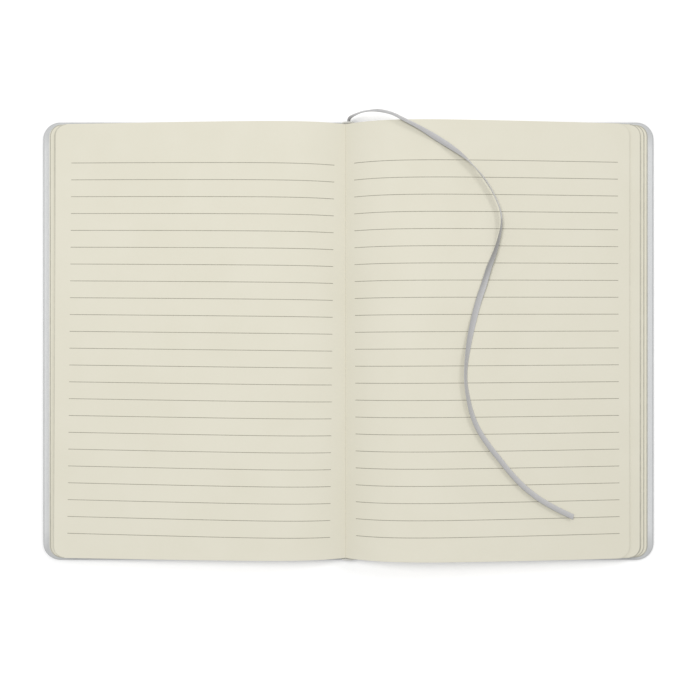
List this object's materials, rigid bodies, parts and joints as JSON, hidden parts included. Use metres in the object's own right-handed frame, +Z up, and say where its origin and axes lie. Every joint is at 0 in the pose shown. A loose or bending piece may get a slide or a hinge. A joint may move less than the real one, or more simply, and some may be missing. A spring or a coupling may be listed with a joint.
{
  "type": "ruled notebook",
  "caption": "Open ruled notebook with rounded stiff covers, a humped block of stepped leaves and a flat ribbon marker; each cover folds back on its own hinge.",
  "frame": {"origin": "on the table under the middle of the open cover, halfway between head and tail and between the two fore edges", "axes": "+X across the spread towards the back cover's fore edge, +Y towards the head of the pages, +Z up from the table out of the pages"},
  "size_m": [0.2932, 0.2139, 0.0202],
  "materials": {
    "cover_skin": "smooth pale grey leatherette, satin",
    "board": "grey board, matte",
    "endpaper": "ivory uncoated paper",
    "page": "ivory uncoated paper",
    "ink": "thin grey printed line, matte",
    "lining": "coarse glued gauze",
    "band": "woven thread",
    "ribbon": "woven grey satin"
  },
  "bodies": {
    "book": {"text_block": "page", "front_flyleaf": "endpaper", "back_flyleaf": "endpaper", "spine_lining": "lining", "head_band": "band", "tail_band": "band", "spine_skin": "cover_skin", "spine_board": "board", "front_ruling": "ink", "back_ruling": "ink", "ribbon": "ribbon"},
    "front_cover": {"front_cover_skin": "cover_skin", "front_board": "board", "front_pastedown": "endpaper"},
    "back_cover": {"back_cover_skin": "cover_skin", "back_board": "board", "back_pastedown": "endpaper"}
  },
  "joints": [
    {"name": "front_cover_hinge", "type": "hinge", "parent": "book", "child": "front_cover", "pos_m": [-0.00925, 0, 0], "axis": [0, -1, 0], "range_deg": [0, 90]},
    {"name": "back_cover_hinge", "type": "hinge", "parent": "book", "child": "back_cover", "pos_m": [0.00925, 0, 0], "axis": [0, 1, 0], "range_deg": [0, 90]}
  ]
}
